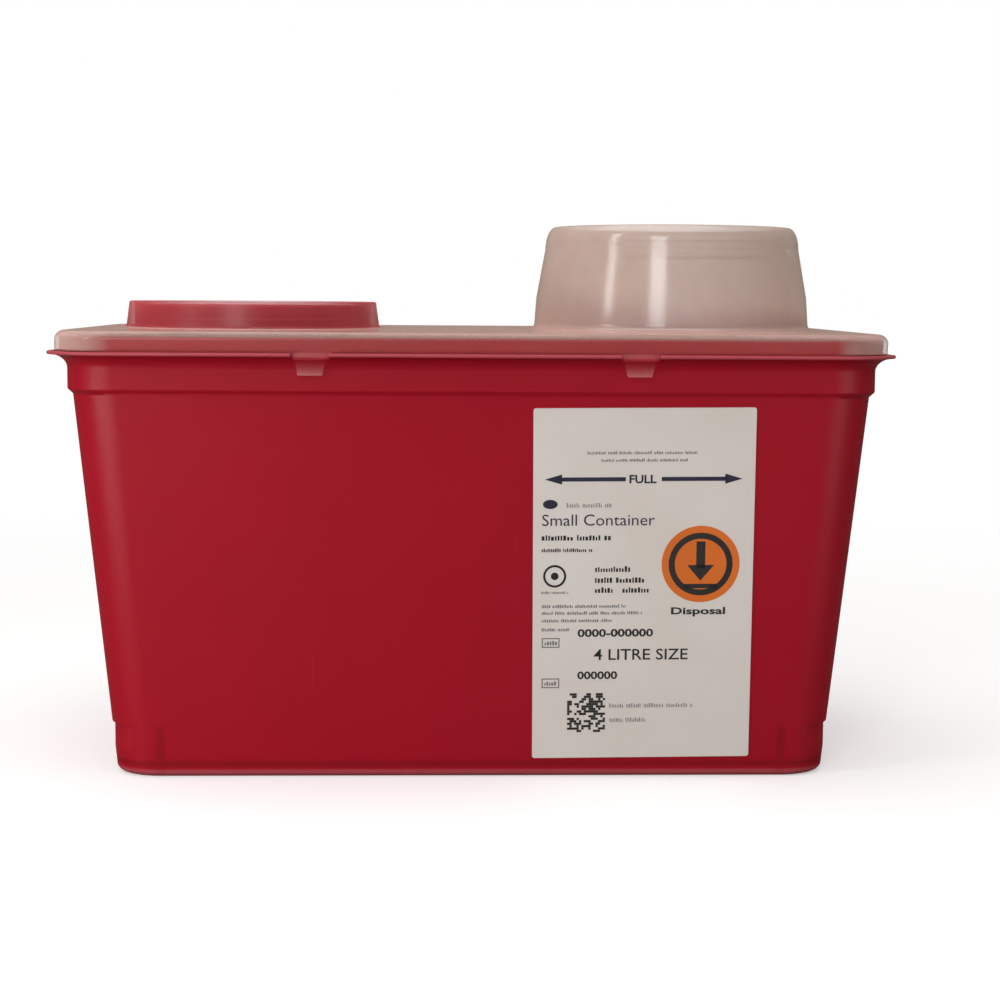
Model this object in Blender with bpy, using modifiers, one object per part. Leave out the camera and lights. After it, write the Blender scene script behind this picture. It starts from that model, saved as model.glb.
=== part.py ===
"""Sharps container: a tapered tub, a clip-on lid with a chimney, a closure cap kept in the lid's
collar, and a label.

Metres, +Z up. The origin is in the middle of the resting face, +X runs along the length towards the
chimney, and the label faces -Y. Sections of the tub and the lid are written as insets: distances in
from the outline of the tub's flange, which is the widest line of the whole container.
"""

import math

import bmesh
import bpy

MM = 0.001

# Overall sizes
FLANGE_LENGTH = 264.0 * MM
FLANGE_DEPTH = 152.0 * MM
TUB_HEIGHT = 138.7 * MM

# Tub
TUB_WALL = 1.5 * MM
TUB_FLOOR = 1.8 * MM
WALL_DRAFT = math.radians(5.3)
FLANGE_THICKNESS = 1.0 * MM
FLANGE_CORNER_RADIUS = 22.0 * MM
RIM_HEIGHT = 4.7 * MM  # from the flange's top to the tub's rim
FLANGE_TIP_BEVEL = 0.3 * MM
COVE_REACH = 5.6 * MM  # hollow curve from the band out under the flange
COVE_DROP = 4.2 * MM
BAND_INSET = 6.2 * MM  # upright band below the cove
BAND_HEIGHT = 6.0 * MM
STEP_DEPTH = 1.5 * MM  # from the band in to the drafted wall
STEP_HEIGHT = 2.0 * MM
STEP_ROUNDING = 1.0 * MM
WALL_CORNER_RADIUS = 15.5 * MM
BASE_CORNER_RADIUS = 13.0 * MM
BASE_EDGE_RADIUS = 2.6 * MM
BASE_HOLLOW = 0.8 * MM  # the base is raised inside a resting band
BASE_BAND = 9.0 * MM
FOOT_RECESS = 0.5 * MM  # shallow relief low on each corner
FOOT_HEIGHT = 14.0 * MM
FOOT_SPAN = 1.5 * MM  # how far the relief runs past the corner
FOOT_BLEND = 0.5 * MM
CORNER_STEPS = 5

# Lid
LID_WALL = 1.4 * MM
LID_OVERHANG = 2.4 * MM  # how far the flange stands out past the lid's skirt
LID_CLEARANCE = 0.3 * MM
LID_EDGE_RADIUS = 3.0 * MM
LID_INNER_RADIUS = 1.0 * MM
RIM_ROUNDING = 0.6 * MM
RIB_DEPTH = 5.0 * MM  # inner rib that locates the lid in the tub's mouth
RIB_THICKNESS = 1.2 * MM

# Snap tabs, two at the front and two at the back, and their notches in the flange
TAB_SPACING = 100.0 * MM
TAB_WIDTH = 10.4 * MM
TAB_TIP_WIDTH = 7.4 * MM
TAB_DROP = 7.0 * MM  # below the skirt
TAB_THINNING = 0.15 * MM  # each face, against the skirt
NOTCH_BACK_CLEARANCE = 0.3 * MM
NOTCH_END_CLEARANCE = 0.7 * MM

# Closure cap, which fits the collar's pocket and the chimney's mouth
CAP_RADIUS = 39.0 * MM  # over the snap bead
CAP_HEIGHT = 7.2 * MM
CAP_BEAD_HEIGHT = 3.4 * MM
CAP_BEAD_DEPTH = 1.2 * MM
CAP_RIM = 1.8 * MM
CAP_FLOOR = 1.5 * MM
CAP_DISH = 4.6 * MM
CAP_ROUNDING = 0.5 * MM
GRIP_WIDTH = 4.5 * MM
GRIP_BELOW_RIM = 0.8 * MM
GRIP_SUNK = 0.6 * MM  # the bar's ends and foot run this far into the dish
CAP_CLEARANCE = 0.4 * MM
SEAT_GAP = 0.3 * MM  # under the cap, and between the label and the tub

# Collar
COLLAR_FROM_END = 59.2 * MM  # from the -X flange tip to the collar's axis
COLLAR_HEIGHT = 8.8 * MM
COLLAR_WALL = 1.7 * MM
COLLAR_FLARE = 0.9 * MM
COLLAR_FILLET = 1.6 * MM

# Chimney
CHIMNEY_FROM_END = 64.3 * MM  # from the +X flange tip to the chimney's axis
CHIMNEY_HEIGHT = 34.2 * MM
CHIMNEY_WALL = 1.5 * MM
CHIMNEY_LAND = 0.9 * MM  # flat ring on top of the mouth
CHIMNEY_SHOULDER = (3.4 * MM, 7.4 * MM)  # growth past the land, and depth below the rim
CHIMNEY_WAIST = (6.3 * MM, 23.4 * MM)
CHIMNEY_FLARE = 6.9 * MM  # growth past the land at the lid
CHIMNEY_FILLET = 2.5 * MM
LIP_HOLD = 0.8 * MM  # how far the lip reaches in over the cap's bead
LIP_HEIGHT = 3.5 * MM
LIP_CHAMFER = 0.5 * MM
SEAT_HEIGHT = 3.8 * MM  # groove that takes the bead
LEDGE_REACH = 0.8 * MM
LEDGE_HEIGHT = 1.2 * MM

# Label
LABEL_WIDTH = 68.7 * MM
LABEL_FROM_END = 79.2 * MM  # from the +X flange tip to the label's middle
LABEL_TOP_MARGIN = 3.0 * MM  # below the step
LABEL_BOTTOM_MARGIN = 6.5 * MM  # above the resting face
LABEL_THICKNESS = 0.25 * MM
LABEL_CORNER_RADIUS = 0.8 * MM
LABEL_TILT = math.radians(0.5)  # laid on a little askew

TURN_STEPS = 48
ARC_STEPS = 4
SINK = 0.7 * MM  # how far a shape joined to the lid's panel runs into it
REACH = 5.0 * MM  # how far a cutter runs past what it cuts

# Worked out from the sizes above
FLANGE_TOP = TUB_HEIGHT - RIM_HEIGHT
FLANGE_UNDERSIDE = FLANGE_TOP - FLANGE_THICKNESS
BAND_TOP = FLANGE_UNDERSIDE - COVE_DROP
BAND_BOTTOM = BAND_TOP - BAND_HEIGHT
WALL_TOP = BAND_BOTTOM - STEP_HEIGHT
WALL_TOP_INSET = BAND_INSET + STEP_DEPTH
RIM_INSET = LID_OVERHANG + LID_WALL + LID_CLEARANCE
LID_UNDERSIDE = TUB_HEIGHT + LID_CLEARANCE
LID_TOP = LID_UNDERSIDE + LID_WALL
SKIRT_BOTTOM = FLANGE_TOP + LID_CLEARANCE
COLLAR_X = COLLAR_FROM_END - FLANGE_LENGTH / 2
CHIMNEY_X = FLANGE_LENGTH / 2 - CHIMNEY_FROM_END
COLLAR_BORE = CAP_RADIUS + CAP_CLEARANCE
CHIMNEY_SEAT = CAP_RADIUS + SEAT_GAP
CHIMNEY_MOUTH = CAP_RADIUS - LIP_HOLD
CHIMNEY_RIM = CHIMNEY_MOUTH + CHIMNEY_LAND


def new_collection(name):
    made = bpy.data.collections.new(name)
    bpy.context.scene.collection.children.link(made)
    return made


def plastic(name, colour, roughness, alpha=1.0):
    """A Principled material. Every piece is moulded plastic or paper, so none is metallic."""
    made = bpy.data.materials.new(name)
    made.use_nodes = True
    shader = made.node_tree.nodes["Principled BSDF"]
    shader.inputs["Base Color"].default_value = (*colour, 1.0)
    shader.inputs["Roughness"].default_value = roughness
    shader.inputs["Metallic"].default_value = 0.0
    shader.inputs["Alpha"].default_value = alpha
    return made


def place(name, mesh, collection, location=(0, 0, 0), material=None):
    made = bpy.data.objects.new(name, mesh)
    made.location = location
    collection.objects.link(made)
    if material:
        mesh.materials.append(material)
    return made


def mesh_of(bm, name):
    mesh = bpy.data.meshes.new(name)
    bm.to_mesh(mesh)
    bm.free()
    return mesh


def smooth(mesh):
    mesh.shade_smooth()
    mesh.set_sharp_from_angle(angle=math.radians(35))


def arc(centre_a, centre_b, radius, start, end, steps=ARC_STEPS):
    """Points of an arc in a plane, from one angle to another, both ends included."""
    turn = math.radians(end - start) / steps
    angles = [math.radians(start) + turn * i for i in range(steps + 1)]
    return [(centre_a + radius * math.cos(t), centre_b + radius * math.sin(t)) for t in angles]


def outline(inset, z, radius, relief=0.0):
    """A rounded rectangle inside the flange's outline. Relief pushes its corners in, as on the feet."""
    half_x = FLANGE_LENGTH / 2 - inset
    half_y = FLANGE_DEPTH / 2 - inset
    points = []
    for quarter in range(4):
        a, b = (half_x, half_y) if quarter % 2 == 0 else (half_y, half_x)
        corner = [(a, b - radius - FOOT_SPAN - FOOT_BLEND), (a - relief, b - radius - FOOT_SPAN)]
        corner += arc(a - radius, b - radius, radius - relief, 0, 90, CORNER_STEPS)
        corner += [(a - radius - FOOT_SPAN, b - relief), (a - radius - FOOT_SPAN - FOOT_BLEND, b)]
        cos, sin = round(math.cos(quarter * math.pi / 2)), round(math.sin(quarter * math.pi / 2))
        points += [(p * cos - q * sin, p * sin + q * cos, z) for p, q in corner]
    return points


def loft(name, sections):
    """A closed solid through rounded rectangles, each given as outline() takes it, its ends filled."""
    bm = bmesh.new()
    rings = [[bm.verts.new(point) for point in outline(*section)] for section in sections]
    for lower, upper in zip(rings, rings[1:]):
        sides = zip(lower, lower[1:] + lower[:1], upper[1:] + upper[:1], upper)
        for corners in sides:
            bm.faces.new(corners)
    bm.faces.new(rings[0])
    bm.faces.new(rings[-1])
    bmesh.ops.recalc_face_normals(bm, faces=bm.faces)
    return mesh_of(bm, name)


def turned(name, profile, collection, x, material=None):
    """A turned solid at x: (radius, z) points from the top of the axis to its foot, and a Screw."""
    bm = bmesh.new()
    points = [bm.verts.new((radius, 0.0, z)) for radius, z in profile]
    for upper, lower in zip(points, points[1:]):
        bm.edges.new((upper, lower))
    made = place(name, mesh_of(bm, name), collection, (x, 0, 0), material)
    screw = made.modifiers.new("turn", "SCREW")
    screw.steps = screw.render_steps = TURN_STEPS
    screw.use_merge_vertices = True
    screw.merge_threshold = 0.0001
    screw.use_smooth_shade = True
    return made


def box(name, low, high, collection):
    """A box between two corners."""
    bm = bmesh.new()
    bmesh.ops.create_cube(bm, size=1.0)
    size = [b - a for a, b in zip(low, high)]
    middle = [(a + b) / 2 for a, b in zip(low, high)]
    bmesh.ops.scale(bm, vec=size, verts=bm.verts)
    return place(name, mesh_of(bm, name), collection, middle)


def combine(target, operation, other):
    other.hide_render = True
    other.display_type = "WIRE"
    boolean = target.modifiers.new(f"{operation.lower()} {other.name}", "BOOLEAN")
    boolean.operation = operation
    boolean.object = other
    boolean.solver = "EXACT"


def wall_inset(z):
    """Inset of the drafted wall's outer face."""
    return WALL_TOP_INSET + (WALL_TOP - z) * math.tan(WALL_DRAFT)


def wall_radius(z):
    share = z / WALL_TOP
    return BASE_CORNER_RADIUS + (WALL_CORNER_RADIUS - BASE_CORNER_RADIUS) * share


def parallel_radius(inset):
    """Corner radius of an outline that runs parallel to the flange's."""
    return max(FLANGE_CORNER_RADIUS - inset, WALL_CORNER_RADIUS)


def tab_middles():
    """(side, x) of the four snap tabs: side is -1 at the front and 1 at the back."""
    return [(side, end * TAB_SPACING / 2) for side in (-1, 1) for end in (-1, 1)]


def make_tub(collection, cutters, material):
    """One moulding: resting band, drafted walls, step, upright band, cove, flange and rim."""
    base_inset = wall_inset(BASE_EDGE_RADIUS)
    floor_z = BASE_HOLLOW + TUB_FLOOR
    inner_inset = wall_inset(floor_z + BASE_EDGE_RADIUS) + TUB_WALL

    base = [(base_inset + BASE_BAND + BASE_HOLLOW, BASE_HOLLOW, BASE_CORNER_RADIUS / 2)]
    base += [(base_inset + BASE_BAND, 0.0, BASE_CORNER_RADIUS / 2)]
    edge = arc(base_inset + BASE_EDGE_RADIUS, BASE_EDGE_RADIUS, BASE_EDGE_RADIUS, 270, 180, 3)
    base += [(inset, z, BASE_CORNER_RADIUS, FOOT_RECESS) for inset, z in edge]
    foot_top = FOOT_HEIGHT + FOOT_BLEND
    wall = [(wall_inset(FOOT_HEIGHT), FOOT_HEIGHT, wall_radius(FOOT_HEIGHT), FOOT_RECESS)]
    wall += [(wall_inset(z), z, wall_radius(z)) for z in (foot_top, WALL_TOP)]

    shoulder = arc(BAND_INSET + STEP_ROUNDING, BAND_BOTTOM, STEP_ROUNDING, 240, 180, 3)
    cove = arc(0.0, 0.0, 1.0, 0, 90, 6)
    shoulder += [(BAND_INSET + COVE_REACH * (a - 1), BAND_TOP + COVE_DROP * b) for a, b in cove]
    shoulder += [(FLANGE_TIP_BEVEL, FLANGE_UNDERSIDE), (0.0, FLANGE_UNDERSIDE + FLANGE_TIP_BEVEL)]
    shoulder += [(0.0, FLANGE_TOP - FLANGE_TIP_BEVEL), (FLANGE_TIP_BEVEL, FLANGE_TOP)]
    shoulder += [(RIM_INSET, FLANGE_TOP)]
    rim_edge = TUB_HEIGHT - RIM_ROUNDING
    shoulder += arc(RIM_INSET + RIM_ROUNDING, rim_edge, RIM_ROUNDING, 180, 90, 2)
    shoulder += arc(RIM_INSET + TUB_WALL - RIM_ROUNDING, rim_edge, RIM_ROUNDING, 90, 0, 2)
    shoulder += [(RIM_INSET + TUB_WALL, FLANGE_UNDERSIDE)]
    shoulder += [(BAND_INSET + TUB_WALL, BAND_TOP), (BAND_INSET + TUB_WALL, BAND_BOTTOM)]
    rim = [(inset, z, parallel_radius(inset)) for inset, z in shoulder]

    inside = [(WALL_TOP_INSET + TUB_WALL, WALL_TOP, WALL_CORNER_RADIUS - TUB_WALL)]
    floor_edge_z = floor_z + BASE_EDGE_RADIUS
    floor_edge = arc(inner_inset + BASE_EDGE_RADIUS, floor_edge_z, BASE_EDGE_RADIUS, 180, 270, 3)
    inside += [(inset, z, BASE_CORNER_RADIUS - TUB_WALL) for inset, z in floor_edge]

    mesh = loft("tub", base + wall + rim + inside)
    smooth(mesh)
    tub = place("tub", mesh, collection, material=material)
    for number, (side, x) in enumerate(tab_middles()):
        half_width = TAB_WIDTH / 2 + NOTCH_END_CLEARANCE
        skirt = FLANGE_DEPTH / 2 - LID_OVERHANG
        outer = FLANGE_DEPTH / 2 + REACH
        inner = skirt - LID_WALL + TAB_THINNING - NOTCH_BACK_CLEARANCE
        y_low, y_high = sorted((side * outer, side * inner))
        low = (x - half_width, y_low, BAND_TOP)
        high = (x + half_width, y_high, FLANGE_TOP + FLANGE_THICKNESS)
        combine(tub, "DIFFERENCE", box(f"tab_notch_cutter_{number}", low, high, cutters))
    return tub


def lid_sections():
    """The lid's panel, rounded edge, skirt and inner rib, from its top round to its underside."""
    skirt_inner = LID_OVERHANG + LID_WALL
    rib_outer = RIM_INSET + TUB_WALL + LID_CLEARANCE
    rib_inner = rib_outer + RIB_THICKNESS
    path = arc(LID_OVERHANG + LID_EDGE_RADIUS, LID_TOP - LID_EDGE_RADIUS, LID_EDGE_RADIUS, 90, 180)
    path += [(LID_OVERHANG, SKIRT_BOTTOM), (skirt_inner, SKIRT_BOTTOM)]
    inner_edge_z = LID_UNDERSIDE - LID_INNER_RADIUS
    path += arc(skirt_inner + LID_INNER_RADIUS, inner_edge_z, LID_INNER_RADIUS, 180, 90, 2)
    path += [(rib_outer, LID_UNDERSIDE), (rib_outer, LID_UNDERSIDE - RIB_DEPTH)]
    path += [(rib_inner, LID_UNDERSIDE - RIB_DEPTH), (rib_inner, LID_UNDERSIDE)]
    return [(inset, z, parallel_radius(inset)) for inset, z in path]


def snap_tab(number, side, x, collection):
    """A tongue that hangs from the skirt through a notch in the flange, narrower at its tip."""
    outer = side * (FLANGE_DEPTH / 2 - LID_OVERHANG - TAB_THINNING)
    inner = side * (FLANGE_DEPTH / 2 - LID_OVERHANG - LID_WALL + TAB_THINNING)
    low = (x - TAB_WIDTH / 2, min(outer, inner), SKIRT_BOTTOM - TAB_DROP)
    high = (x + TAB_WIDTH / 2, max(outer, inner), SKIRT_BOTTOM + LID_WALL)
    made = box(f"snap_tab_{number}", low, high, collection)
    for vertex in made.data.vertices:
        if vertex.co.z < 0:
            vertex.co.x *= TAB_TIP_WIDTH / TAB_WIDTH
    return made


def chimney_outside():
    """(radius, height above the lid) down the outside: round shoulder, two flares and a fillet."""
    shoulder_growth, shoulder_depth = CHIMNEY_SHOULDER
    waist_growth, waist_depth = CHIMNEY_WAIST
    shoulder_z = CHIMNEY_HEIGHT - shoulder_depth
    steps = 6
    angles = [math.pi / 2 * (1 - i / steps) for i in range(steps + 1)]
    path = [
        (CHIMNEY_RIM + shoulder_growth * math.cos(t), shoulder_z + shoulder_depth * math.sin(t))
        for t in angles
    ]
    path += [(CHIMNEY_RIM + waist_growth, CHIMNEY_HEIGHT - waist_depth)]
    foot = CHIMNEY_RIM + CHIMNEY_FLARE
    path += arc(foot + CHIMNEY_FILLET, CHIMNEY_FILLET, CHIMNEY_FILLET, 180, 255)
    return path


def chimney_inside():
    """(radius, height above the lid) down the bore: lip, groove for the cap's bead, ledge and flares."""
    lip_z = CHIMNEY_HEIGHT - LIP_HEIGHT
    ledge_z = lip_z - SEAT_HEIGHT
    ledge_bottom = ledge_z - LEDGE_HEIGHT
    waist_growth, waist_depth = CHIMNEY_WAIST
    path = [(CHIMNEY_MOUTH, CHIMNEY_HEIGHT + REACH), (CHIMNEY_MOUTH, lip_z + LIP_CHAMFER)]
    path += [(CHIMNEY_SEAT, lip_z), (CHIMNEY_SEAT, ledge_z)]
    path += [(CHIMNEY_SEAT - LEDGE_REACH, ledge_z), (CHIMNEY_SEAT - LEDGE_REACH, ledge_bottom)]
    path += [(CHIMNEY_RIM + waist_growth / 2 - CHIMNEY_WALL, ledge_bottom - LEDGE_HEIGHT)]
    path += [(CHIMNEY_RIM + waist_growth - CHIMNEY_WALL, CHIMNEY_HEIGHT - waist_depth)]
    foot = CHIMNEY_RIM + CHIMNEY_FLARE - CHIMNEY_WALL
    path += [(foot, 0.0), (foot, -LID_WALL - REACH)]
    return path


def on_lid(path):
    return [(radius, LID_TOP + height) for radius, height in path]


def make_lid(collection, cutters, material):
    """One moulding: panel, skirt, rib, four snap tabs, open chimney, and a collar with a floor."""
    mesh = loft("lid", lid_sections())
    smooth(mesh)
    lid = place("lid", mesh, collection, material=material)

    outside = chimney_outside()
    body = [(0.0, CHIMNEY_HEIGHT)] + outside + [(outside[-1][0], -SINK), (0.0, -SINK)]
    combine(lid, "UNION", turned("chimney_body", on_lid(body), cutters, CHIMNEY_X))

    outer = COLLAR_BORE + COLLAR_WALL
    foot = outer + COLLAR_FLARE
    rounding = COLLAR_WALL / 3
    collar = [(0.0, COLLAR_HEIGHT)]
    collar += arc(outer - rounding, COLLAR_HEIGHT - rounding, rounding, 90, 0, 2)
    collar += arc(foot + COLLAR_FILLET, COLLAR_FILLET, COLLAR_FILLET, 180, 255, 3)
    collar += [(collar[-1][0], -SINK), (0.0, -SINK)]
    combine(lid, "UNION", turned("collar_body", on_lid(collar), cutters, COLLAR_X))

    for number, (side, x) in enumerate(tab_middles()):
        combine(lid, "UNION", snap_tab(number, side, x, cutters))

    inside = chimney_inside()
    bore = [(0.0, CHIMNEY_HEIGHT + REACH)] + inside + [(0.0, -LID_WALL - REACH)]
    combine(lid, "DIFFERENCE", turned("chimney_bore_cutter", on_lid(bore), cutters, CHIMNEY_X))
    top = COLLAR_HEIGHT + REACH
    pocket = [(0.0, top), (COLLAR_BORE, top), (COLLAR_BORE, 0.0), (0.0, 0.0)]
    combine(lid, "DIFFERENCE", turned("collar_pocket_cutter", on_lid(pocket), cutters, COLLAR_X))
    return lid


def make_closure_cap(collection, cutters, material):
    """A shallow plug with a snap bead round its foot, a dish in its top and a grip bar across the dish."""
    body = CAP_RADIUS - CAP_BEAD_DEPTH
    dish = body - CAP_RIM
    dish_z = CAP_HEIGHT - CAP_DISH
    hollow_z = dish_z - CAP_FLOOR
    profile = [(0.0, dish_z), (dish - CAP_ROUNDING, dish_z), (dish, dish_z + CAP_ROUNDING)]
    profile += [(dish, CAP_HEIGHT - CAP_ROUNDING), (dish + CAP_ROUNDING, CAP_HEIGHT)]
    profile += arc(body - CAP_ROUNDING, CAP_HEIGHT - CAP_ROUNDING, CAP_ROUNDING, 90, 0, 2)
    profile += [(body, CAP_BEAD_HEIGHT), (CAP_RADIUS - CAP_ROUNDING / 2, CAP_BEAD_HEIGHT)]
    profile += [(CAP_RADIUS, CAP_BEAD_HEIGHT - CAP_BEAD_DEPTH), (CAP_RADIUS, CAP_ROUNDING)]
    profile += [(CAP_RADIUS - CAP_ROUNDING, 0.0), (dish, 0.0), (dish, hollow_z), (0.0, hollow_z)]
    cap = turned("closure_cap", profile, collection, COLLAR_X, material)
    cap.location.z = LID_TOP + SEAT_GAP
    smooth(cap.data)

    half_length = dish + GRIP_SUNK
    low = (-half_length, -GRIP_WIDTH / 2, dish_z - GRIP_SUNK)
    high = (half_length, GRIP_WIDTH / 2, CAP_HEIGHT - GRIP_BELOW_RIM)
    grip = box("grip_bar", low, high, cutters)
    grip.parent = cap
    bevel = grip.modifiers.new("round", "BEVEL")
    bevel.width = GRIP_WIDTH / 5
    bevel.segments = 2
    combine(cap, "UNION", grip)
    return cap


def make_front_label(collection, material):
    """A paper label on the drafted front wall: its middle, lean and tilt follow the wall."""
    bottom, top = LABEL_BOTTOM_MARGIN, WALL_TOP - LABEL_TOP_MARGIN
    height = (top - bottom) / math.cos(WALL_DRAFT)
    bm = bmesh.new()
    bmesh.ops.create_cube(bm, size=1.0)
    bmesh.ops.scale(bm, vec=(LABEL_WIDTH, LABEL_THICKNESS, height), verts=bm.verts)
    corners = [e for e in bm.edges if abs(e.verts[0].co.y - e.verts[1].co.y) > LABEL_THICKNESS / 2]
    bmesh.ops.bevel(
        bm,
        geom=corners,
        offset=LABEL_CORNER_RADIUS,
        segments=3,
        profile=0.5,
        affect="EDGES",
        material=-1,
    )
    middle_z = (bottom + top) / 2
    stand_off = (SEAT_GAP / 2 + LABEL_THICKNESS / 2) / math.cos(WALL_DRAFT)
    y = wall_inset(middle_z) - FLANGE_DEPTH / 2 - stand_off
    x = FLANGE_LENGTH / 2 - LABEL_FROM_END
    label = place("front_label", mesh_of(bm, "front_label"), collection, (x, y, middle_z), material)
    label.rotation_mode = "YXZ"
    label.rotation_euler = (WALL_DRAFT, -LABEL_TILT, 0)
    return label


for leftover in list(bpy.data.objects):
    bpy.data.objects.remove(leftover)

parts = new_collection("sharps_container")
helpers = new_collection("sharps_container_cutters")

container = bpy.data.objects.new("container_origin", None)
parts.objects.link(container)

red_plastic = plastic("red_polypropylene", (0.40, 0.013, 0.030), 0.42)
natural_plastic = plastic("natural_polypropylene", (0.62, 0.52, 0.45), 0.38, 0.55)
paper = plastic("label_paper", (0.55, 0.49, 0.45), 0.62)

tub = make_tub(parts, helpers, red_plastic)
lid = make_lid(parts, helpers, natural_plastic)
closure_cap = make_closure_cap(parts, helpers, red_plastic)
front_label = make_front_label(parts, paper)
tub.parent = container
lid.parent = container
front_label.parent = tub
closure_cap.parent = lid
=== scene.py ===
import math
import random

import bmesh
import bpy
from mathutils import Matrix, Vector


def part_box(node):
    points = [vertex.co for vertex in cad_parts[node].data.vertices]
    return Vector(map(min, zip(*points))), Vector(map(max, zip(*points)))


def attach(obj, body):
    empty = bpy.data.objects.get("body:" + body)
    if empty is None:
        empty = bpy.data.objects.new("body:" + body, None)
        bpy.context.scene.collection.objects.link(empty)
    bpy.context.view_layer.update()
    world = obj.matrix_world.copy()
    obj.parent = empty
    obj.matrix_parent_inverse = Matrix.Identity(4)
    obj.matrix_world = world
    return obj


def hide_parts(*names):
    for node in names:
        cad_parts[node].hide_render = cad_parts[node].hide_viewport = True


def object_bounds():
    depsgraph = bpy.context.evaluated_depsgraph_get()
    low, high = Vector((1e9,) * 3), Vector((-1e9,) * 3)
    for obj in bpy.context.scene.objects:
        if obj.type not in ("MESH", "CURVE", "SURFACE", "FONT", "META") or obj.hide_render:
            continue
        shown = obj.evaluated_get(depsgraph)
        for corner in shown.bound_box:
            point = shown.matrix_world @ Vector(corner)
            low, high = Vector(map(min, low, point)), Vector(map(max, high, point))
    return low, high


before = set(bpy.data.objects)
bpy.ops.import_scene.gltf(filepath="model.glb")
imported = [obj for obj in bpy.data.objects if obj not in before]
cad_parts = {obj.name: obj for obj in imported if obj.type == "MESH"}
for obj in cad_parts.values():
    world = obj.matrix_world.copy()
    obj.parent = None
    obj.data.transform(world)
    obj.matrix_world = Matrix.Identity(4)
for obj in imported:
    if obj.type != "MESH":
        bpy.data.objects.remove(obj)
cad_low, cad_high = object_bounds()
scene = bpy.context.scene
MM = 0.001

# View, floor and light -------------------------------------------------------------------
# The container stands on a pale floor in a bright room. The eye is in front of it, a hand's
# width above the bench and just above the lid's top, turned a little to the right.
EYE = Vector((-15.6, -693.4, 152.7)) * MM
EYE_TURN = math.radians(2.15)
EYE_DIP = math.radians(5.79)
EYE_ROLL = math.radians(0.39)
LENS = 73.7
SENSOR = 36.0

eye_data = bpy.data.cameras.new("camera")
eye_data.sensor_width = SENSOR
eye_data.lens = LENS
eye = bpy.data.objects.new("camera", eye_data)
scene.collection.objects.link(eye)
eye.matrix_world = (
    Matrix.Translation(EYE)
    @ Matrix.Rotation(-EYE_TURN, 4, "Z")
    @ Matrix.Rotation(math.pi / 2 - EYE_DIP, 4, "X")
    @ Matrix.Rotation(EYE_ROLL, 4, "Z")
)
scene.camera = eye
scene.view_settings.view_transform = "Standard"


def add_node(tree, kind, inputs=None, **settings):
    """A node with its settings; inputs gives each socket a value or the socket that feeds it."""
    made = tree.nodes.new(kind)
    for name, value in settings.items():
        setattr(made, name, value)
    for name, value in (inputs or {}).items():
        if isinstance(value, bpy.types.NodeSocket):
            tree.links.new(value, made.inputs[name])
        else:
            made.inputs[name].default_value = value
    return made


def maths(tree, operation, first, second=0.0, clamp=False):
    """The result of a sum on two values or sockets."""
    made = add_node(tree, "ShaderNodeMath", {0: first, 1: second}, operation=operation)
    made.use_clamp = clamp
    return made.outputs[0]


def blended(tree, share, first, second):
    """A colour between two others."""
    made = add_node(tree, "ShaderNodeMix", data_type="RGBA")
    for socket, value in ((made.inputs[0], share), (made.inputs[6], first), (made.inputs[7], second)):
        if isinstance(value, bpy.types.NodeSocket):
            tree.links.new(value, socket)
        else:
            socket.default_value = value
    return made.outputs[2]


def noise(tree, coordinates, scale, detail=2.0, roughness=0.5):
    """Noise from 0 to 1; scale counts its features in a metre."""
    inputs = {"Vector": coordinates, "Scale": scale, "Detail": detail, "Roughness": roughness}
    return add_node(tree, "ShaderNodeTexNoise", inputs).outputs["Fac"]


def spread(tree, value, low, high, to_low=0.0, to_high=1.0):
    """The value's stretch from low to high, laid over to_low to to_high and held at its ends."""
    inputs = {"Value": value, "From Min": low, "From Max": high, "To Min": to_low, "To Max": to_high}
    return add_node(tree, "ShaderNodeMapRange", inputs).outputs["Result"]


def new_material(name):
    """A node material; returns it with its tree and its Principled shader."""
    made = bpy.data.materials.new(name)
    made.use_nodes = True
    return made, made.node_tree, made.node_tree.nodes["Principled BSDF"]


FLOOR_SIZE = 12.0
FLOOR_FADE = (0.22, 0.75)  # from the middle: the lit floor near the container, plain white beyond
FLOOR_WHITE = (0.80, 0.80, 0.795, 1.0)
FLOOR_GREY = (0.76, 0.76, 0.76, 1.0)
FLOOR_GLOW = 0.42
BENCH_GREY = (0.16, 0.155, 0.15, 1.0)  # what the container gets back from the bench

floor_material, tree, shader = new_material("pale_floor")
floor_place = add_node(tree, "ShaderNodeTexCoord").outputs["Object"]
floor_cloud = noise(tree, floor_place, 3.0, 3.0)
tree.links.new(blended(tree, floor_cloud, FLOOR_WHITE, FLOOR_GREY), shader.inputs["Base Color"])
tree.links.new(spread(tree, floor_cloud, 0.3, 0.7, 0.6, 0.75), shader.inputs["Roughness"])
shader.inputs["Emission Color"].default_value = (1.0, 1.0, 1.0, 1.0)
shader.inputs["Emission Strength"].default_value = FLOOR_GLOW
reach = add_node(tree, "ShaderNodeVectorMath", {0: floor_place}, operation="LENGTH").outputs["Value"]
far = spread(tree, reach, *FLOOR_FADE)
white = add_node(tree, "ShaderNodeEmission", {"Color": (1, 1, 1, 1), "Strength": 1.0})
bench = add_node(tree, "ShaderNodeBsdfDiffuse", {"Color": BENCH_GREY})
seen = add_node(tree, "ShaderNodeLightPath").outputs["Is Camera Ray"]
pale = add_node(tree, "ShaderNodeMixShader", {0: far, 1: shader.outputs[0], 2: white.outputs[0]})
laid = add_node(tree, "ShaderNodeMixShader", {0: seen, 1: bench.outputs[0], 2: pale.outputs[0]})
tree.links.new(laid.outputs[0], tree.nodes["Material Output"].inputs["Surface"])

bm = bmesh.new()
bmesh.ops.create_grid(bm, x_segments=1, y_segments=1, size=FLOOR_SIZE / 2)
floor_mesh = bpy.data.meshes.new("floor")
bm.to_mesh(floor_mesh)
bm.free()
floor_mesh.materials.append(floor_material)
floor = bpy.data.objects.new("floor", floor_mesh)
scene.collection.objects.link(floor)


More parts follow.
